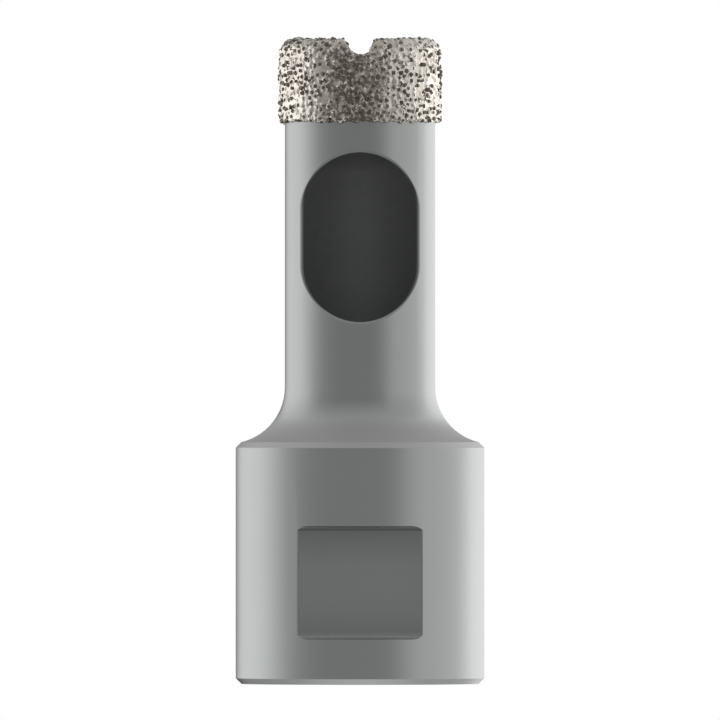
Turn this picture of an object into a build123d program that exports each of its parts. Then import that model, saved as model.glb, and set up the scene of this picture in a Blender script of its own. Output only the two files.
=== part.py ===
"""Dry diamond core bit for an angle grinder's spindle, millimetres, +Z up.

The bit is turned from one bar of steel: a hub with an internal spindle thread, and a thinner core
barrel that grows out of it in one concave flare. Two wrench flats are milled into the hub, and a
round-ended window in the barrel lets a stuck core be pushed out. The barrel's rim carries the
cutting crown: a coat of braze over its outside, end and inside, and diamond grains all over that
coat. Two notches across the rim let dust out.

The origin is the middle of the hub's seating face. The window and one wrench flat face -Y.
The spindle thread's ridge isn't modelled: its bore is plain, at the thread's major diameter.
"""

import math
import os
import random

from build123d import *

# Hub
hub_diameter = 22.0
hub_height = 21.4
hub_chamfer = 0.5
across_flats = 19.0
flat_height = 10.0
flat_start = 4.0
flat_corner = 0.5

# Spindle thread, M14 x 2
thread_diameter = 14.0
thread_depth = 18.0
thread_mouth_chamfer = 0.6

# Core barrel
barrel_diameter = 13.3
barrel_wall = 1.3
barrel_length = 35.2
flare_radius = 5.0
rim_chamfer = 0.4

# Window in the barrel: two half circles and the straight sides between them
window_width = 10.0
window_straight = 5.0
window_start = 32.0
window_edge_chamfer = 0.2

# Crown: the braze coat on the rim, and the two dust notches across it
braze_thickness = 0.4
coat_height_outside = 7.3
coat_height_inside = 4.6
coat_round_outside = 1.3
coat_chamfer_inside = 0.5
coat_foot_chamfer = 0.2
notch_width = 2.8
notch_depth = 1.5
notch_slope = 66.0
notch_lip = 0.5
steel_notch_lip = 0.1

# Diamond grains
grain_edge = 0.34
grain_spacing = 0.8
grain_wander = 0.06
grain_seed = 14

# Worked out from the values above
hub_radius = hub_diameter / 2
thread_radius = thread_diameter / 2
barrel_radius = barrel_diameter / 2
core_radius = barrel_radius - barrel_wall
rim_top = hub_height + barrel_length
flare_foot_radius = hub_radius - hub_chamfer
flare_reach = barrel_radius + flare_radius - flare_foot_radius
flare_top = hub_height + math.sqrt(flare_radius**2 - flare_reach**2)
coat_radius = barrel_radius + braze_thickness
coat_core_radius = core_radius - braze_thickness
crown_top = rim_top + braze_thickness
outside_foot = crown_top - coat_height_outside
inside_foot = crown_top - coat_height_inside


def notch_outline(side, lip):
    """Draw the notch, a V with a round floor, moved by side into the metal, with its lips rounded."""
    slope = math.radians(notch_slope)
    mouth = notch_width / 2 + side * math.tan(slope / 2)
    shoulder = mouth + notch_width
    top = crown_top - side
    apex_depth = mouth * math.tan(slope)
    floor_radius = (apex_depth - notch_depth) / (1 / math.cos(slope) - 1)
    with BuildSketch(Plane.XZ) as outline:
        with BuildLine():
            edge = FilletPolyline(
                (-shoulder, top),
                (-mouth, top),
                (0, top - apex_depth),
                (mouth, top),
                (shoulder, top),
                radius=(lip, floor_radius, lip),
            )
            Polyline(edge @ 1, (shoulder, top + notch_depth), (-shoulder, top + notch_depth), edge @ 0)
        make_face()
    return outline.sketch


# Steel body: hub, flare and barrel are turned in one piece
with BuildPart() as steel_body:
    with BuildSketch(Plane.XZ) as half_section:
        with BuildLine():
            Polyline(
                (thread_radius, thread_mouth_chamfer),
                (thread_radius + thread_mouth_chamfer, 0),
                (hub_radius - hub_chamfer, 0),
                (hub_radius, hub_chamfer),
                (hub_radius, hub_height - hub_chamfer),
                (flare_foot_radius, hub_height),
            )
            RadiusArc((flare_foot_radius, hub_height), (barrel_radius, flare_top), flare_radius)
            Polyline(
                (barrel_radius, flare_top),
                (barrel_radius, rim_top),
                (core_radius, rim_top),
                (core_radius, thread_depth),
                (thread_radius, thread_depth),
                (thread_radius, thread_mouth_chamfer),
            )
        make_face()
        chamfer(half_section.vertices().group_by(Axis.Y)[-1], rim_chamfer)
    revolve(axis=Axis.Z)

    # Wrench flats, front and back
    with BuildSketch(Plane.YZ) as flats:
        with Locations((across_flats / 2, flat_start)):
            Rectangle(hub_radius, flat_height, align=(Align.MIN, Align.MIN))
        fillet(flats.vertices().group_by(Axis.X)[0], flat_corner)
        mirror(about=Plane.YZ)
    extrude(amount=hub_radius, both=True, mode=Mode.SUBTRACT)

    # Window, through the barrel's front wall only
    with BuildSketch(Plane.XZ):
        with Locations((0, window_start + (window_width + window_straight) / 2)):
            SlotCenterToCenter(window_straight, window_width, rotation=90)
    extrude(amount=barrel_diameter, mode=Mode.SUBTRACT)
    window_edges = steel_body.edges(Select.LAST).filter_by(
        lambda edge: math.isclose(math.hypot((edge @ 0.5).X, (edge @ 0.5).Y), barrel_radius)
    )
    chamfer(window_edges, window_edge_chamfer)

    # Dust notches, front and back
    steel_notch = notch_outline(braze_thickness, steel_notch_lip)
    extrude(steel_notch, amount=barrel_diameter, both=True, mode=Mode.SUBTRACT)
steel_body.part.label = "steel_body"

# Braze coat: a cap over the rim that is as thick on every side, down into the notches
with BuildPart() as braze_coat:
    with BuildSketch(Plane.XZ) as cap:
        wall_middle = (barrel_radius + core_radius) / 2
        with BuildLine():
            Polyline(
                (coat_radius, outside_foot),
                (coat_radius, crown_top),
                (coat_core_radius, crown_top),
                (coat_core_radius, inside_foot),
                (wall_middle, inside_foot),
                (wall_middle, outside_foot),
                (coat_radius, outside_foot),
            )
        make_face()
        fillet(cap.vertices().group_by(Axis.Y)[-1].sort_by(Axis.X)[-1], coat_round_outside)
        chamfer(cap.vertices().group_by(Axis.Y)[-1].sort_by(Axis.X)[0], coat_chamfer_inside)
        chamfer(cap.vertices().group_by(Axis.Y)[0].sort_by(Axis.X)[-1], coat_foot_chamfer)
        chamfer(cap.vertices().group_by(Axis.X)[0].sort_by(Axis.Y)[0], coat_foot_chamfer)
    revolve(axis=Axis.Z)
    extrude(notch_outline(0, notch_lip), amount=barrel_diameter, both=True, mode=Mode.SUBTRACT)
    add(steel_body.part, mode=Mode.SUBTRACT)
braze_coat.part.label = "braze_coat"

# One grain: the corner of a cube crystal that stands on end, bedded as deep as its face diagonals
grain_radius = grain_edge * math.sqrt(2 / 3)
grain_height = grain_edge / math.sqrt(3)
corner_tilt = math.degrees(math.atan(math.sqrt(2)))
with BuildPart() as grain:
    with Locations((0, 0, -grain_height / 2)):
        Box(grain_edge, grain_edge, grain_edge, rotation=(0, corner_tilt, 45))
    split(bisect_by=Plane.XY, keep=Keep.TOP)

# Rows of grains follow the coat's own outline, from its outside foot over the rim to its inside
margin = grain_radius + grain_wander + coat_foot_chamfer
with BuildLine(Plane.XZ) as coat_outline:
    FilletPolyline(
        (coat_radius, outside_foot + margin),
        (coat_radius, crown_top),
        (coat_core_radius + coat_chamfer_inside, crown_top),
        (coat_core_radius, crown_top - coat_chamfer_inside),
        (coat_core_radius, inside_foot + margin),
        radius=(coat_round_outside, 0, 0),
    )
row_path = coat_outline.wire()
row_count = round(row_path.length / (grain_spacing * math.sin(math.radians(60)))) + 1
notch_reach = notch_width / 2 + notch_lip * math.tan(math.radians(notch_slope / 2))
notch_clearance = notch_reach + grain_radius
wander = random.Random(grain_seed)
grain_places = []
for row in range(row_count):
    share = row / (row_count - 1)
    point = row_path @ share
    tangent = row_path % share
    outward = Vector(tangent.Z, 0, -tangent.X)
    seat = point + outward * max(0, -outward.X) * grain_radius**2 / point.X
    row_plane = Plane(origin=seat, x_dir=(0, 1, 0), z_dir=outward)
    row_grains = round(math.tau * point.X / grain_spacing)
    for index in range(row_grains):
        around = 360 * (index + row % 2 / 2 + wander.uniform(-1, 1) * grain_wander) / row_grains
        spin = wander.uniform(0, 120)
        place = Rotation(0, 0, around) * row_plane.location * Rotation(0, 0, spin)
        beside_notch = abs(place.position.X) > notch_clearance
        below_notch = place.position.Z < crown_top - notch_depth - grain_radius
        if beside_notch or below_notch:
            grain_places.append(place)
with BuildPart() as diamond_grit:
    with Locations(*grain_places):
        add(grain.part)
diamond_grit.part.label = "diamond_grit"
print(len(grain_places), "grains in", row_count, "rows")

os.makedirs("parts", exist_ok=True)
export_step(steel_body.part, "parts/steel_body.step")
export_step(braze_coat.part, "parts/braze_coat.step")
export_step(diamond_grit.part, "parts/diamond_grit.step")
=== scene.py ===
# %% [markdown]
# # A dry diamond core bit, dressed and lit
#
# The bit is one turned steel body with a crown of braze and diamond grains on its rim. Its solids
# come packed from the CAD model and aren't moved or changed here. This lesson gives the steel its
# satin turned finish, cuts the spindle thread into view, and builds the part that a camera loves:
# the lumpy, glittering crown. Everything is in metres, in the CAD model's own frame: the origin is
# the middle of the hub's seat, +Z runs up the axis, and the barrel's window faces -Y.

# %% Load the frame
import math
import random

import bpy
import numpy as np
from mathutils import Matrix, Vector, kdtree, noise


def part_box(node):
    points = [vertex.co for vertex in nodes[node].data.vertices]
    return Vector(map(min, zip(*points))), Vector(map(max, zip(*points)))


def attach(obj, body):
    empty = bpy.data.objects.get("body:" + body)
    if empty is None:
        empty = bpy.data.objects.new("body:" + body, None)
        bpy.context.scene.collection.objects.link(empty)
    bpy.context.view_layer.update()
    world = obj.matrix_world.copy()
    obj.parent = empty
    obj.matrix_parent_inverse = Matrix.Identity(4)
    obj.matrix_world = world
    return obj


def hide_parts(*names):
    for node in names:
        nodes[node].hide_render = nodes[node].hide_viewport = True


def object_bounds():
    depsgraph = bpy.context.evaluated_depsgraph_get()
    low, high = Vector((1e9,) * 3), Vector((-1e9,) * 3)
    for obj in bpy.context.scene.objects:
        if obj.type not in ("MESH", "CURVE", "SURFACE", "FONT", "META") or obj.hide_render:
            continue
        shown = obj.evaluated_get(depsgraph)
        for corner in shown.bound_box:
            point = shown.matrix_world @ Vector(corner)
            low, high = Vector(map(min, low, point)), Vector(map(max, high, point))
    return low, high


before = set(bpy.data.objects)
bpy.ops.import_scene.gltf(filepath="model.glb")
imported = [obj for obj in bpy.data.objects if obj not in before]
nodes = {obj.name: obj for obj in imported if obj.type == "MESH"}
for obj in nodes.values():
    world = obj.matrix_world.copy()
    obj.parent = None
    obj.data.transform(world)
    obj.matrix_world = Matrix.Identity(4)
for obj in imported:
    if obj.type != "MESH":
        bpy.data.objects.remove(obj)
cad_low, cad_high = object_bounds()
MM = 0.001
print("CAD box in mm", [round(v / MM, 2) for v in (*cad_low, *cad_high)])

# %% [markdown]
# Every operator works on what is selected, and the loaded solids come in selected. So each step
# starts from a clean selection, and one helper picks a single object to work on.


# %% Selection helper
def select_only(piece):
    bpy.ops.object.select_all(action="DESELECT")
    piece.select_set(True)
    bpy.context.view_layer.objects.active = piece


# %% [markdown]
# ## Camera
#
# The photograph is level and shows no perspective: the hub's round ends read as straight lines. A
# very long lens from far away gives that. The picture's scale, 11.3 pixels to a millimetre, comes
# from the hub, which is 22 mm wide, and the bit stands in the middle of the frame, with its seat
# on the row that is named here.

# %% The camera
picture_width = 720
pixels_per_mm = 11.3
seat_row = 683.8
camera_distance = 3.0
farthest_seen = 10.0
sensor_width = 36.0

view_width = picture_width / pixels_per_mm * MM
view_height = (seat_row - picture_width / 2) / pixels_per_mm * MM
bpy.ops.object.camera_add(
    location=(0, -camera_distance, view_height), rotation=(math.radians(90), 0, 0)
)
camera = bpy.context.object
camera.name = "long_lens_camera"
camera.data.sensor_width = sensor_width
camera.data.lens = sensor_width * camera_distance / view_width
camera.data.clip_end = farthest_seen
bpy.context.scene.camera = camera
bpy.context.scene.view_settings.view_transform = "Standard"
print("lens", round(camera.data.lens), "mm")

# %% [markdown]
# ## A light tent
#
# Bare steel is a mirror with a haze on it: what we see on a round bar is the room, wrapped round it.
# The bit in the photograph stands in a light tent. Its flanks are bright, and the side that the
# camera looks out of is dim, so a round bar is dark down its middle and bright near its edges. At
# the very back the wall goes dark, most on the left, which draws the thin line down the outline.
# The world is that tent: a level for each direction round the bit, read off a ramp, dimmer where
# the wall bends in above and below, with a plain level overhead and another underneath. The camera
# itself sees plain white.
#
# Worlds and materials are both trees of nodes, so the helpers for them come first.


# %% Helpers for any node tree
def add_node(tree, kind, **settings):
    made = tree.nodes.new(kind)
    for name, value in settings.items():
        setattr(made, name, value)
    return made


def fill_sockets(tree, sockets, values):
    """Link a value that comes from another node, and set one that is a plain number or colour."""
    for socket, value in zip(sockets, values):
        if isinstance(value, bpy.types.NodeSocket):
            tree.links.new(value, socket)
        else:
            socket.default_value = value


def math_node(tree, operation, *values):
    made = add_node(tree, "ShaderNodeMath", operation=operation)
    fill_sockets(tree, made.inputs, values)
    return made.outputs[0]


def scale_add(tree, value, factor, start):
    """The start, and factor times the value on top of it."""
    return math_node(tree, "MULTIPLY_ADD", value, factor, start)


def xyz_of(tree, vector):
    made = add_node(tree, "ShaderNodeSeparateXYZ")
    tree.links.new(vector, made.inputs[0])
    return made.outputs["X"], made.outputs["Y"], made.outputs["Z"]


# %% Helpers for steps, grays and mixes
def step_node(tree, value, low, high):
    """A smooth step from 0 where value is low to 1 where it is high."""
    made = add_node(tree, "ShaderNodeMapRange", interpolation_type="SMOOTHSTEP")
    tree.links.new(value, made.inputs["Value"])
    made.inputs["From Min"].default_value = low
    made.inputs["From Max"].default_value = high
    return made.outputs["Result"]


def gray(level):
    return (level, level, level, 1)


def ramp_node(tree, value, levels):
    """A gray for each value from 0 to 1, read off a ramp through the given levels."""
    made = add_node(tree, "ShaderNodeValToRGB")
    tree.links.new(value, made.inputs["Fac"])
    stops = sorted(levels.items())
    for position, level in stops[1:-1]:
        made.color_ramp.elements.new(position)
    for stop, (position, level) in zip(made.color_ramp.elements, stops):
        stop.position = position
        stop.color = gray(level)
    return made.outputs["Color"]


def mix_colours(tree, factor, first, second, blend="MIX"):
    made = add_node(tree, "ShaderNodeMix", data_type="RGBA", blend_type=blend)
    sockets = made.inputs["Factor"], made.inputs[6], made.inputs[7]
    fill_sockets(tree, sockets, (factor, first, second))
    return made.outputs[2]


# %% [markdown]
# The wall's levels are given by the angle, in degrees, between the camera's side and the direction,
# once for the wall on the left of the picture and once for the right. A level of 1 is white paper.

# %% The tent's wall
tent_left = {38: 0.35, 62: 0.45, 75: 0.64, 90: 0.95, 106: 1.2, 132: 1.2, 146: 1.05, 157: 0.55}
tent_left |= {166: 0.1, 180: 0.0}
tent_right = {26: 0.35, 38: 0.47, 52: 0.7, 75: 0.74, 98: 0.84, 112: 1.05, 124: 1.45, 152: 1.35}
tent_right |= {168: 1.15, 180: 0.3}

world = bpy.data.worlds.new("light_tent")
bpy.context.scene.world = world
world.use_nodes = True
tree = world.node_tree
tree.nodes.clear()
direction = add_node(tree, "ShaderNodeTexCoord").outputs["Generated"]
x, y, z = xyz_of(tree, direction)
towards_camera = math_node(tree, "MULTIPLY", y, -1.0)
round_angle = math_node(tree, "ARCTAN2", x, towards_camera)
round_share = scale_add(tree, round_angle, 1 / math.tau, 0.5)
tent_levels = {0.5 - angle / 360: level for angle, level in tent_left.items()}
tent_levels |= {0.5 + angle / 360: level for angle, level in tent_right.items()}
tent_wall = ramp_node(tree, round_share, tent_levels)
print("tent wall", len(tent_levels), "levels, the brightest", max(tent_levels.values()))

# %% [markdown]
# A direction's height runs from -1, straight down, to 1, straight up. Each pair of heights says
# where a change begins and where it is complete.

# %% The tent above and below, and the camera's white
tent_top = 0.565
tent_bottom = 0.82
low_level = 0.45
flank_level = 0.85
top_heights = (0.32, 1.0)
flank_heights = (0.1, 0.45)
low_heights = (-0.15, -0.6)
bottom_heights = (-0.8, -1.0)

low_front = step_node(tree, z, *low_heights)
above_flanks = step_node(tree, z, *flank_heights)
dimmed_below = scale_add(tree, low_front, low_level - 1.0, 1.0)
dimmed_above = scale_add(tree, above_flanks, flank_level - 1.0, 1.0)
dimmed = math_node(tree, "MULTIPLY", dimmed_below, dimmed_above)
sides = math_node(tree, "MULTIPLY", tent_wall, dimmed)
tent = mix_colours(tree, step_node(tree, z, *top_heights), sides, gray(tent_top))
tent = mix_colours(tree, step_node(tree, z, *bottom_heights), tent, gray(tent_bottom))
rays = add_node(tree, "ShaderNodeLightPath")
seen = mix_colours(tree, rays.outputs["Is Camera Ray"], tent, gray(1))
background = add_node(tree, "ShaderNodeBackground")
tree.links.new(seen, background.inputs["Color"])
output = add_node(tree, "ShaderNodeOutputWorld")
tree.links.new(background.outputs[0], output.inputs["Surface"])
print("tent", tent_top, "overhead and", tent_bottom, "underneath")

# %% [markdown]
# One weak soft box hangs over the bit and lays its shadow. The floor is a white sheet: most of what
# the camera sees of it is plain white, and the rest keeps the shadow. Mirrored rays pass through it
# to the tent, which is nearly as bright below as the sheet would be.

# %% The soft box
box_place = Vector((0.05, -0.06, 0.8))
box_size = 0.8
box_power = 0.5

bpy.ops.object.light_add(type="AREA", location=box_place)
soft_box = bpy.context.object
soft_box.name = "soft_box"
soft_box.data.size = box_size
soft_box.data.energy = box_power
soft_box.visible_glossy = False
soft_box.rotation_mode = "QUATERNION"
soft_box.rotation_quaternion = (-box_place).to_track_quat("-Z", "Y")
print("soft box", box_power, "W from", round(box_place.length, 2), "m")

# %% The floor
floor_size = 0.5
plain_share = 0.88
floor_glow = 1.07
paper_level = 0.82

bpy.ops.mesh.primitive_plane_add(size=floor_size, location=(0, 0, cad_low.z))
floor = bpy.context.object
floor.name = "white_floor"
sheet = bpy.data.materials.new("white_sheet")
sheet.use_nodes = True
tree = sheet.node_tree
tree.nodes.clear()
paper = add_node(tree, "ShaderNodeBsdfDiffuse")
paper.inputs["Color"].default_value = gray(paper_level)
glow = add_node(tree, "ShaderNodeEmission")
glow.inputs["Strength"].default_value = floor_glow
clear = add_node(tree, "ShaderNodeBsdfTransparent")
rays = add_node(tree, "ShaderNodeLightPath")
plain = math_node(tree, "MULTIPLY", rays.outputs["Is Camera Ray"], plain_share)
mirrored = math_node(tree, "MAXIMUM", rays.outputs["Is Glossy Ray"], rays.outputs["Is Transmission Ray"])
lit = add_node(tree, "ShaderNodeMixShader")
fill_sockets(tree, lit.inputs, (plain, paper.outputs[0], glow.outputs[0]))
passing = add_node(tree, "ShaderNodeMixShader")
fill_sockets(tree, passing.inputs, (mirrored, lit.outputs[0], clear.outputs[0]))
output = add_node(tree, "ShaderNodeOutputMaterial")
tree.links.new(passing.outputs[0], output.inputs["Surface"])
floor.data.materials.append(sheet)
print("floor", floor_size, "m wide at", cad_low.z)

# %% [markdown]
# ## Turned steel
#
# The body is bare steel off the lathe: satin, faintly ringed by the tool, and a little green-gray.
# It is one solid, so it gets one material, and its features are told apart by masks: numbers that
# are 1 on a feature and 0 off it. Painted masks would do as well, but they would have to be painted
# again whenever a size changes. These are worked out from how far a point lies from the axis, how
# high it is and how far it is to the side.


# %% Helpers for materials
def new_material(name):
    material = bpy.data.materials.new(name)
    material.use_nodes = True
    tree = material.node_tree
    shader = tree.nodes["Principled BSDF"]
    point = add_node(tree, "ShaderNodeTexCoord").outputs["Object"]
    return material, tree, shader, point


def noise_node(tree, vector, scale, detail=2.0, **settings):
    made = add_node(tree, "ShaderNodeTexNoise", **settings)
    if vector is not None:
        tree.links.new(vector, made.inputs["Vector"])
    made.inputs["Scale"].default_value = scale
    made.inputs["Detail"].default_value = detail
    return made.outputs["Fac"]


def share_node(tree, value, low, high):
    """How far value is from low, 0, to high, 1."""
    made = add_node(tree, "ShaderNodeMapRange")
    tree.links.new(value, made.inputs["Value"])
    made.inputs["From Min"].default_value = low
    made.inputs["From Max"].default_value = high
    return made.outputs["Result"]


def bump_node(tree, height, distance):
    made = add_node(tree, "ShaderNodeBump")
    tree.links.new(height, made.inputs["Height"])
    made.inputs["Distance"].default_value = distance
    return made.outputs["Normal"]


def colour_between(tree, factor, first, second):
    return mix_colours(tree, factor, (*first, 1), (*second, 1))


def all_masks(tree, first, *others):
    """A mask that is 1 only where every one of the given masks is 1."""
    for other in others:
        first = math_node(tree, "MULTIPLY", first, other)
    return first


# %% Start the steel
mask_edge = 0.1 * MM

turned_steel, tree, shader, point = new_material("turned_steel")
x, y, z = xyz_of(tree, point)
sideways = math_node(tree, "ABSOLUTE", x)
squares = math_node(tree, "MULTIPLY", x, x)
squares = math_node(tree, "MULTIPLY_ADD", y, y, squares)
radius = math_node(tree, "SQRT", squares)
print("masks fade over", mask_edge / MM, "mm")

# %% [markdown]
# The rings are a noise that only changes along the axis and outwards, never round it, so one bump
# serves the barrel, the flare and the flat seat. The hub is a shade cleaner than the barrel.

# %% Rings, clouds and the two tones
ring_scale = 5200.0
cloud_scale = 90.0
barrel_dark, barrel_pale = (0.415, 0.432, 0.424), (0.445, 0.462, 0.454)
hub_dark, hub_pale = (0.441, 0.459, 0.45), (0.471, 0.489, 0.48)
hub_top = 21.4 * MM
hub_chamfer = 0.5 * MM

rings = noise_node(tree, None, ring_scale, detail=3.0, noise_dimensions="1D")
tree.links.new(math_node(tree, "ADD", z, radius), rings.node.inputs["W"])
clouds = noise_node(tree, point, cloud_scale, detail=3.0)
barrel_tone = colour_between(tree, clouds, barrel_dark, barrel_pale)
hub_tone = colour_between(tree, clouds, hub_dark, hub_pale)
chamfer_foot = hub_top - hub_chamfer
over_side = step_node(tree, z, chamfer_foot - mask_edge / 2, chamfer_foot)
turned = mix_colours(tree, over_side, hub_tone, barrel_tone)
print("hub's tone up to", round(chamfer_foot / MM, 2), "mm")

# %% [markdown]
# Two bands by height come next. The foot of the flare is turned coarser than the rest, so it throws
# the light wide, and its lighter colour is painted light. The hub's chamfer is smoother, and its
# lighter colour is painted light too.

# %% The flare's foot and the hub's chamfer
foot_low, foot_high = 0.6 * MM, 2.8 * MM
# painted light: lighter colours on the flare's foot and on the hub's chamfer
foot_painted_light = (0.57, 0.574, 0.57, 1)
chamfer_painted_light = (0.53, 0.535, 0.53, 1)

below_bend = step_node(tree, z, hub_top + foot_high, hub_top + foot_low)
at_foot = all_masks(tree, over_side, below_bend)
# the foot's painted light
turned = mix_colours(tree, at_foot, turned, foot_painted_light)
below_top = step_node(tree, z, hub_top + mask_edge / 4, hub_top - mask_edge / 4)
on_chamfer = all_masks(tree, over_side, below_top)
# the chamfer's painted light
turned = mix_colours(tree, on_chamfer, turned, chamfer_painted_light)
print("coarse foot fades out", foot_high / MM, "mm over the hub")

# %% [markdown]
# The window's edge is given a darker band: painted shade for a broken edge, widest on the straight
# sides. Its mask is a band round a slot: the distance from the slot's outline is the distance from
# its middle line, less its radius, and the band gets wider with the third power of how far to the
# side it lies.

# %% The window's painted edge shade
barrel_radius = 6.65 * MM
window_bottom, window_top = 32.0 * MM, 47.0 * MM
window_radius = 5.0 * MM
shade_band_width = 0.28 * MM
shade_band_depth = 2.5 * mask_edge
# painted shade: a dark band that stands in for the shading of a broken edge
painted_edge_shade = (0.165, 0.17, 0.167, 1)

half_straight = (window_top - window_bottom) / 2 - window_radius
from_middle = math_node(tree, "SUBTRACT", z, (window_top + window_bottom) / 2)
past_straight = math_node(tree, "SUBTRACT", math_node(tree, "ABSOLUTE", from_middle), half_straight)
past_straight = math_node(tree, "MAXIMUM", past_straight, 0.0)
span = math_node(tree, "MULTIPLY", sideways, sideways)
span = math_node(tree, "MULTIPLY_ADD", past_straight, past_straight, span)
beside_window = math_node(tree, "SUBTRACT", math_node(tree, "SQRT", span), window_radius)
side_share = math_node(tree, "POWER", math_node(tree, "DIVIDE", sideways, window_radius), 3.0)
band = math_node(tree, "MULTIPLY", side_share, shade_band_width)
in_band = step_node(tree, math_node(tree, "SUBTRACT", band, beside_window), 0.0, mask_edge)
front = step_node(tree, y, 0.0, -mask_edge)
shade_band_floor = barrel_radius - shade_band_depth
outer_wall = step_node(tree, radius, shade_band_floor - mask_edge, shade_band_floor)
# the window's painted edge shade goes on here
turned = mix_colours(tree, all_masks(tree, in_band, front, outer_wall), turned, painted_edge_shade)
print("painted edge shade band", shade_band_width / MM, "mm at its widest")

# %% [markdown]
# The flats are milled into the hub's sides. Their tone is a ramp over their height that paints light
# and shade in: a painted highlight along the foot, painted shade towards the ends of the cut with a
# thin dark line under the top, and palest in the middle. Their upright edges have a level of their
# own.

# %% The milled flats and their painted shade
hub_radius = 11.0 * MM
flat_depth = 9.5 * MM
flat_bottom, flat_top = 4.0 * MM, 14.0 * MM
flat_half_width = 5.545 * MM
# painted light and shade over the flat's height: highlight at the foot, shade under the top
flat_light_and_shade = {0.0: 1.0, 0.001: 1.45, 0.01: 0.95, 0.018: 0.64, 0.028: 0.71, 0.041: 0.86, 0.067: 0.76}
flat_light_and_shade |= {0.25: 0.87, 0.4: 0.91, 0.65: 0.91, 0.87: 0.755, 0.952: 0.69, 0.963: 0.8, 0.971: 0.72}
flat_light_and_shade |= {0.979: 0.28, 1.0: 0.95}
side_level = 0.74

depth = math_node(tree, "ABSOLUTE", y)
cut_back = step_node(tree, depth, flat_depth - mask_edge, flat_depth - mask_edge / 2)
below_skin = step_node(tree, radius, hub_radius - mask_edge / 4, hub_radius - mask_edge / 2)
under_top = step_node(tree, z, flat_top + 4 * mask_edge, flat_top + 3 * mask_edge)
over_foot = step_node(tree, z, flat_bottom - 4 * mask_edge, flat_bottom - 3 * mask_edge)
on_flat = all_masks(tree, cut_back, below_skin, under_top, over_foot)
# the flats' painted shade and highlight, as a ramp by height
flat_shade_ramp = ramp_node(tree, share_node(tree, z, flat_bottom, flat_top), flat_light_and_shade)
near_side = step_node(tree, sideways, flat_half_width - 2 * mask_edge, flat_half_width - mask_edge)
flat_painted_shade = mix_colours(tree, near_side, flat_shade_ramp, gray(side_level))
steel_with_flat_shade = mix_colours(tree, on_flat, turned, flat_painted_shade, blend="MULTIPLY")
print("flat from", flat_bottom / MM, "to", flat_top / MM, "mm")

# %% [markdown]
# The bore went through the brazing furnace and was never polished. Its steel wears a dull scale,
# and over it a ramp by height paints light and shade: lighter low down, darker from just under the
# window's top up to the crown. A scale isn't bare metal, so it is only half metallic.

# %% The bore's scale and its painted light
bore_radius = 5.35 * MM
thread_radius = 7.0 * MM
thread_top = 18.0 * MM
scale_dark, scale_pale = (0.231, 0.241, 0.237), (0.271, 0.281, 0.277)
grime_scale = 1500.0
bore_low, bore_high = 33.0 * MM, 48.0 * MM
# painted light and shade: lighter low in the bore, darker from under the window's top
bore_light_levels = {0.0: 1.28, 0.33: 1.08, 0.82: 1.1, 0.9: 0.81}

in_barrel = step_node(tree, radius, bore_radius + 2 * mask_edge, bore_radius + mask_edge)
in_hub = step_node(tree, radius, thread_radius + 2 * mask_edge, thread_radius + mask_edge)
low_down = step_node(tree, z, thread_top + 2 * mask_edge, thread_top + mask_edge)
in_bore = math_node(tree, "MAXIMUM", in_barrel, all_masks(tree, in_hub, low_down))
grime = noise_node(tree, point, grime_scale)
scale_tone = colour_between(tree, grime, scale_dark, scale_pale)
# the bore's painted light and shade, as a ramp by height
bore_painted_light = ramp_node(tree, share_node(tree, z, bore_low, bore_high), bore_light_levels)
scale_and_light = mix_colours(tree, 1.0, scale_tone, bore_painted_light, blend="MULTIPLY")
print("bore darkens from", bore_low / MM, "to", bore_high / MM, "mm")

# %% Put the steel together
scale_metallic = 0.5
satin_roughness = 0.27
ring_roughness = 0.06
foot_roughness = 0.45
chamfer_roughness = -0.25
scale_roughness = 0.3
ring_height = 0.4e-6

finish = mix_colours(tree, in_bore, steel_with_flat_shade, scale_and_light)
tree.links.new(finish, shader.inputs["Base Color"])
metallic = scale_add(tree, in_bore, scale_metallic - 1.0, 1.0)
tree.links.new(metallic, shader.inputs["Metallic"])
roughness = scale_add(tree, rings, ring_roughness, satin_roughness)
roughness = scale_add(tree, at_foot, foot_roughness, roughness)
roughness = scale_add(tree, on_chamfer, chamfer_roughness, roughness)
roughness = scale_add(tree, in_bore, scale_roughness, roughness)
tree.links.new(roughness, shader.inputs["Roughness"])
tree.links.new(bump_node(tree, rings, ring_height), shader.inputs["Normal"])

body = nodes["steel_body"]
body.data.materials.clear()
body.data.materials.append(turned_steel)
print("steel body triangles", len(body.data.polygons))

# %% [markdown]
# ## The spindle thread
#
# The solid's bore is plain, at the thread's major diameter. The ridge that a tap leaves between its
# cuts is added here. Its section is a plane pinched to a narrow crest, and the Screw modifier winds
# its outline up the bore to the right, 2 mm a turn. It starts below the hub and ends above the
# shoulder, so that both ends can be cut as they are in the shop: a cone takes away what the
# countersink takes, and a level cut ends it at the shoulder.

# %% The ridge's section
pitch = 2.0 * MM
ridge_depth = 1.08 * MM
root_overlap = 0.04 * MM
ridge_width = 1.8 * MM
crest_width = 0.44 * MM
ridge_start = -1.5 * MM

crest_radius = thread_radius - ridge_depth
root_radius = thread_radius + root_overlap
middle_radius = (crest_radius + root_radius) / 2
bpy.ops.object.select_all(action="DESELECT")
bpy.ops.mesh.primitive_plane_add(
    size=1, location=(middle_radius, 0, ridge_start), rotation=(math.pi / 2, 0, 0)
)
ridge = bpy.context.object
ridge.name = "thread_ridge"
ridge.scale = (root_radius - crest_radius, ridge_width, 1)
bpy.ops.object.transform_apply(location=True, rotation=True, scale=True)
bpy.ops.object.mode_set(mode="EDIT")
bpy.ops.mesh.delete(type="ONLY_FACE")
bpy.ops.mesh.select_all(action="DESELECT")
bpy.ops.object.mode_set(mode="OBJECT")
for corner in ridge.data.vertices:
    corner.select = corner.co.x < middle_radius
bpy.ops.object.mode_set(mode="EDIT")
bpy.ops.transform.resize(
    value=(1, 1, crest_width / ridge_width), center_override=(crest_radius, 0, ridge_start)
)
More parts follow.
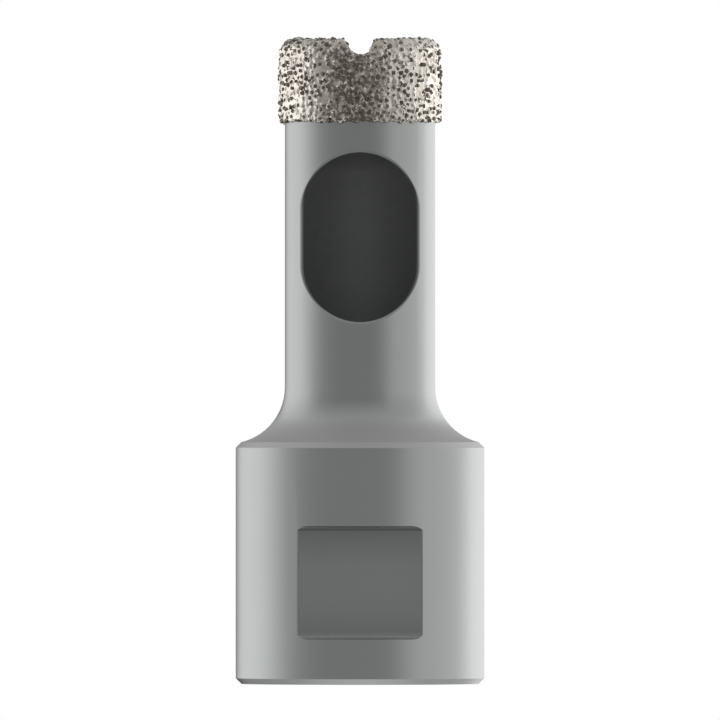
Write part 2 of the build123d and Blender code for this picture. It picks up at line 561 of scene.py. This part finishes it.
bpy.ops.object.mode_set(mode="OBJECT")
print("ridge's section has", len(ridge.data.vertices), "corners")

# %% Wind it up the bore
turns = 11
turn_steps = 72

winding = ridge.modifiers.new("winding", "SCREW")
winding.axis = "Z"
winding.screw_offset = pitch
winding.iterations = turns
winding.steps = turn_steps
winding.render_steps = turn_steps
bpy.ops.object.modifier_apply(modifier=winding.name)
bpy.ops.object.mode_set(mode="EDIT")
bpy.ops.mesh.select_all(action="SELECT")
bpy.ops.mesh.fill_holes(sides=0)
bpy.ops.mesh.normals_make_consistent(inside=False)
bpy.ops.object.mode_set(mode="OBJECT")
print("wound ridge", len(ridge.data.polygons), "faces")

# %% Cut its ends
mouth_radius = 7.6 * MM
cone_start = -2.6 * MM
cone_sides = 144
shoulder_overlap = 0.02 * MM
crease_angle = math.radians(30)

cone_height = mouth_radius - cone_start
cone_middle = cone_start + cone_height / 2
bpy.ops.mesh.primitive_cone_add(
    vertices=cone_sides, radius1=cone_height, depth=cone_height, location=(0, 0, cone_middle)
)
countersink = bpy.context.object
select_only(ridge)
mouth = ridge.modifiers.new("mouth", "BOOLEAN")
mouth.operation = "DIFFERENCE"
mouth.solver = "EXACT"
mouth.object = countersink
bpy.ops.object.modifier_apply(modifier=mouth.name)
bpy.data.objects.remove(countersink)
bpy.ops.object.mode_set(mode="EDIT")
bpy.ops.mesh.select_all(action="SELECT")
shoulder = (0, 0, thread_top + shoulder_overlap)
bpy.ops.mesh.bisect(plane_co=shoulder, plane_no=(0, 0, 1), clear_outer=True, use_fill=True)
bpy.ops.object.mode_set(mode="OBJECT")
bpy.ops.object.shade_smooth_by_angle(angle=crease_angle)
ridge.data.materials.append(turned_steel)
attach(ridge, "root")
heights = [round(vertex.co.z / MM, 2) for vertex in ridge.data.vertices]
print("ridge", len(ridge.data.polygons), "faces, from", min(heights), "to", max(heights), "mm")

# %% [markdown]
# ## Where the grains sit
#
# The grains are strewn, not set: they lie at random, but never on top of each other. That is what
# throwing darts gives: pick a random spot on the coat, keep it if no kept spot is too near, and
# throw again. The spots are picked on a merged copy of the coat's solid, over the faces that don't
# lie against the steel, so the notches get their grains too. A slow noise leaves a few stretches
# bare, and the coat's foot stays bare as well.

# %% A merged copy of the coat
same_point = 0.001 * MM

coat_skin = bpy.data.objects.new("braze_skin", nodes["braze_coat"].data.copy())
bpy.context.scene.collection.objects.link(coat_skin)
select_only(coat_skin)
bpy.ops.object.mode_set(mode="EDIT")
bpy.ops.mesh.select_all(action="SELECT")
bpy.ops.mesh.remove_doubles(threshold=same_point)
bpy.ops.object.mode_set(mode="OBJECT")
print("coat copy", len(coat_skin.data.vertices), "vertices")

# %% The faces that are open to the air
touching = 0.03 * MM

open_faces = []
for face in coat_skin.data.polygons:
    _, spot, _, _ = body.closest_point_on_mesh(face.center)
    if (spot - face.center).length > touching:
        open_faces.append(face)
areas = [face.area for face in open_faces]
print(len(open_faces), "open faces,", round(sum(areas) / MM**2), "square mm")

# %% Throw the grains
chance = random.Random(14)
throws = 16000
grain_gap = 0.42 * MM
crowd_scale = 0.45
bare_level = 0.46
bare_foot = 0.1 * MM

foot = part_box("braze_coat")[0].z
seats = []
seat_points = np.empty((0, 3))
for face in chance.choices(open_faces, weights=areas, k=throws):
    a, b, c = (coat_skin.data.vertices[index].co for index in face.vertices)
    across, up = sorted((chance.random(), chance.random()))
    spot = a * across + b * (up - across) + c * (1 - up)
    crowd = noise.noise(spot / MM * crowd_scale)
    if crowd > bare_level or spot.z < foot + bare_foot:
        continue
    if len(seats) == 0 or np.min(np.sum((seat_points - np.array(spot)) ** 2, axis=1)) > grain_gap**2:
        seats.append((spot, face.normal.copy()))
        seat_points = np.vstack((seat_points, np.array(spot)))
print(len(seats), "grains seated")

# %% [markdown]
# ## The braze
#
# Braze is a metal that ran: it climbs a little way up every grain and sinks between them. To get
# that skin, the coat's copy is rebuilt as a fine even mesh with the Remesh modifier, and then each
# of its points is pushed out by how near it is to a grain. Noise adds the slow waves of a metal
# that froze as it flowed, and lets the lower edge wander. The Decimate modifier then takes out the
# faces that the calm parts don't need.

# %% Remesh the coat
fine = 0.095 * MM
smooth_passes = 3

select_only(coat_skin)
even = coat_skin.modifiers.new("even_mesh", "REMESH")
even.mode = "VOXEL"
even.voxel_size = fine
bpy.ops.object.modifier_apply(modifier=even.name)
bpy.ops.object.mode_set(mode="EDIT")
bpy.ops.mesh.select_all(action="SELECT")
bpy.ops.mesh.vertices_smooth(factor=0.5, repeat=smooth_passes)
bpy.ops.object.mode_set(mode="OBJECT")
print("skin", len(coat_skin.data.polygons), "faces")

# %% [markdown]
# No two collars are alike, so each seat draws a height and a width of its own, and a fine noise
# bends the outline of each. A point feels its four nearest grains, and takes the highest collar. On
# a thin wall the nearest grain may sit on the other side, so a point that faces away from it stays.

# %% How high the braze climbs at a point
collar_shares = (0.3, 1.1)
collar_spreads = (0.75, 1.35)
collar_width = 0.21 * MM
collar_wander = 0.8
collar_wander_scale = 4.5 / MM

collars = [(chance.uniform(*collar_shares), chance.uniform(*collar_spreads) * collar_width) for _ in seats]
seat_finder = kdtree.KDTree(len(seats))
for index, (spot, normal) in enumerate(seats):
    seat_finder.insert(spot, index)
seat_finder.balance()


def climb_at(place, near):
    uneven = 1 + collar_wander * noise.noise(place * collar_wander_scale)
    climb = 0.0
    for _, index, distance in near:
        share, width = collars[index]
        climb = max(climb, share * math.exp(-((distance * uneven / width) ** 2)))
    return climb


print("highest collar's share", round(max(share for share, width in collars), 2))

# %% Push the skin out
collar_height = 0.18 * MM
wave_height = 0.06 * MM
wave_scale = 0.8 / MM
edge_wander = 0.3 * MM
edge_reach = 1.0 * MM
edge_scale, finer_scale = 1.3, 3.1
finer_share = 0.6
grains_felt = 4
least_facing = 0.2

mesh = coat_skin.data
normals = [vertex.normal.copy() for vertex in mesh.vertices]
climbs = []
for vertex, normal in zip(mesh.vertices, normals):
    climbs.append(0.0)
    near = seat_finder.find_n(vertex.co, grains_felt)
    if normal.dot(seats[near[0][1]][1]) < least_facing:
        continue
    climb = climb_at(vertex.co, near)
    climbs[-1] = climb
    wave = noise.noise(vertex.co * wave_scale)
    level = Vector((vertex.co.x, vertex.co.y, 0)) / MM
    ragged = noise.noise(level * edge_scale) + finer_share * noise.noise(level * finer_scale)
    nearness = max(0.0, 1 - (vertex.co.z - foot) / edge_reach)
    vertex.co += normal * (collar_height * climb + wave_height * wave)
    vertex.co.z += edge_wander * ragged * nearness
mesh.attributes.new("braze_climb", "FLOAT", "POINT").data.foreach_set("value", climbs)
print("skin pushed out by up to", round(collar_height * max(climbs) / MM, 2), "mm of collar")

# %% Thin the calm parts
kept_share = 0.64

thin = coat_skin.modifiers.new("fewer_faces", "DECIMATE")
thin.ratio = kept_share
bpy.ops.object.modifier_apply(modifier=thin.name)
bpy.ops.object.shade_smooth()
print("skin after thinning", len(coat_skin.data.polygons), "faces")

# %% [markdown]
# Away from its shade, braze is a warm white metal. Down the crown's middle, over the window, shade is
# painted in: nearly black between the grains, and speckled with painted highlights and shade on the
# collars that climb them. The push that each point got is kept on the mesh, so the finish can tell a
# collar from a hollow, and a noise lets the painted shade fade unevenly. The rim is worn, and grayer
# than the rest.

# %% Where the braze lies in painted shade, climbs and is worn
# painted shade down the crown's middle, fading out to the sides
shade_middle = -0.6 * MM
shade_drift = 5.0 * MM
shade_fade = (3.0 * MM, 8.0 * MM)
drift_scale = 260.0
collar_fade = (0.1, 0.75)
worn_depths = (1.2 * MM, 0.4 * MM)

braze, tree, shader, point = new_material("bright_braze")
x, y, z = xyz_of(tree, point)
sideways = math_node(tree, "ABSOLUTE", math_node(tree, "SUBTRACT", x, shade_middle))
drift = noise_node(tree, point, drift_scale, detail=3.0)
out_of_shade = step_node(tree, scale_add(tree, drift, shade_drift, sideways), *shade_fade)
climb = add_node(tree, "ShaderNodeAttribute", attribute_name="braze_climb").outputs["Fac"]
on_collar = step_node(tree, climb, *collar_fade)
worn = step_node(tree, z, *(cad_high.z - depth for depth in worn_depths))
print("painted shade fades from", shade_fade[0] / MM, "to", shade_fade[1] / MM, "mm to the side")

# %% The braze's colours
bright_dark, bright_pale = (0.78, 0.725, 0.635), (0.97, 0.92, 0.83)
# painted shade between the grains, and painted highlights and shade speckled on the collars
painted_hollow_dark, painted_hollow_pale = (0.19, 0.168, 0.135), (0.66, 0.6, 0.52)
collar_speckle_dark, collar_glint_pale = (0.3, 0.27, 0.225), (1.0, 0.97, 0.92)
worn_colour = (0.58, 0.555, 0.505, 1)
patch_scale = 700.0
speckle_scale = 3000.0
speckle_fade = (0.42, 0.64)

patches = noise_node(tree, point, patch_scale, detail=3.0)
speckle = step_node(tree, noise_node(tree, point, speckle_scale), *speckle_fade)
bright = colour_between(tree, patches, bright_dark, bright_pale)
painted_hollow_shade = colour_between(tree, speckle, painted_hollow_dark, painted_hollow_pale)
painted_collar_speckle = colour_between(tree, speckle, collar_speckle_dark, collar_glint_pale)
# the hollows' painted shade and the collars' painted speckle, mixed with the bare braze
hollow = mix_colours(tree, out_of_shade, painted_hollow_shade, bright)
crest = mix_colours(tree, out_of_shade, painted_collar_speckle, bright)
warm = mix_colours(tree, on_collar, hollow, crest)
finish = mix_colours(tree, worn, warm, worn_colour)
tree.links.new(finish, shader.inputs["Base Color"])
shader.inputs["Metallic"].default_value = 1.0
print("braze from", bright_dark, "to", bright_pale)

# %% The braze's gloss and ripples
smoothest = 0.12
patch_roughness = 0.12
ripple_scale = 4200.0
ripple_height = 34e-6
ripple_out_of_shade = 0.6

gloss = scale_add(tree, patches, patch_roughness, smoothest)
tree.links.new(gloss, shader.inputs["Roughness"])
ripple = noise_node(tree, point, ripple_scale, detail=3.0)
ripple = math_node(tree, "MULTIPLY", ripple, scale_add(tree, out_of_shade, ripple_out_of_shade - 1.0, 1.0))
tree.links.new(bump_node(tree, ripple, ripple_height), shader.inputs["Normal"])
coat_skin.data.materials.clear()
coat_skin.data.materials.append(braze)
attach(coat_skin, "root")
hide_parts("braze_coat")
print("ripples up to", round(ripple_height / MM, 3), "mm")

# %% [markdown]
# ## The diamonds
#
# Tool diamond grows as small blocky crystals between a cube and an octahedron: a cube whose corners
# are cut off. One cube with its corners bevelled gives each of three habits, from nearly a cube to
# nearly an octahedron. Each grain is then a copy of one of them, turned at random and sunk by about
# half into the braze at its seat, and all the copies are joined into one piece.

# %% Three crystal habits
grain_size = 0.36 * MM
corner_cuts = {"blocky": 0.2, "even": 0.32, "pointed": 0.46}
uncut_share = 0.74
share_per_cut = 0.3

habits = []
for name, cut in corner_cuts.items():
    edge = grain_size * (uncut_share + cut * share_per_cut)
    bpy.ops.mesh.primitive_cube_add(size=edge)
    crystal = bpy.context.object
    crystal.name = "crystal_" + name
    bpy.ops.object.mode_set(mode="EDIT")
    bpy.ops.mesh.bevel(offset=edge * cut, segments=1, affect="VERTICES")
    bpy.ops.object.mode_set(mode="OBJECT")
    habits.append(crystal)
    print(name, len(crystal.data.polygons), "faces")

# %% Copy, turn and sink them
sink = -0.09 * MM
rise = 0.16 * MM
end_sink = -0.05 * MM
size_range = (0.78, 1.2)
width_range = (0.85, 1.1)
height_range = (0.85, 1.0)

copies = []
for spot, normal in seats:
    crystal = chance.choice(habits)
    grain = bpy.data.objects.new("grain", crystal.data.copy())
    bpy.context.scene.collection.objects.link(grain)
    size = chance.uniform(*size_range)
    wide = size * chance.uniform(*width_range)
    tall = size * chance.uniform(*height_range)
    stretch = Matrix.Diagonal((size, wide, tall, 1))
    spin_axis = Vector((chance.gauss(0, 1), chance.gauss(0, 1), 1))
    turn = Matrix.Rotation(chance.uniform(0, math.tau), 4, spin_axis)
    depth = sink + chance.uniform(0, rise) + end_sink * max(0.0, normal.z)
    place = Matrix.Translation(spot + normal * depth)
    grain.matrix_world = place @ turn @ stretch
    copies.append(grain)
print(len(copies), "grains of about", grain_size / MM, "mm")

# %% Join them into one piece
bpy.ops.object.select_all(action="DESELECT")
for grain in copies:
    grain.select_set(True)
bpy.context.view_layer.objects.active = copies[0]
bpy.ops.object.join()
grit = bpy.context.object
grit.name = "diamond_grains"
bpy.ops.object.transform_apply(location=True, rotation=True, scale=True)
for crystal in habits:
    bpy.data.objects.remove(crystal)
print("grit", len(grit.data.polygons), "faces")

# %% [markdown]
# The grains here are brown to nearly black, from one to the next and within each. Diamond isn't a
# metal, and it bends light more than glass does, so each face throws a small sharp glint.

# %% The diamond's finish
brown_dark, brown_pale = (0.012, 0.007, 0.004), (0.2, 0.14, 0.09)
tone_scale = 2200.0
crystal_roughness = 0.22
crystal_ior = 1.9

diamond, tree, shader, point = new_material("brown_diamond")
tone = noise_node(tree, point, tone_scale, detail=1.0)
brown = colour_between(tree, tone, brown_dark, brown_pale)
tree.links.new(brown, shader.inputs["Base Color"])
shader.inputs["Roughness"].default_value = crystal_roughness
shader.inputs["IOR"].default_value = crystal_ior
grit.data.materials.append(diamond)
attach(grit, "root")
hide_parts("diamond_grit")
print("diamond tones from", brown_dark, "to", brown_pale)
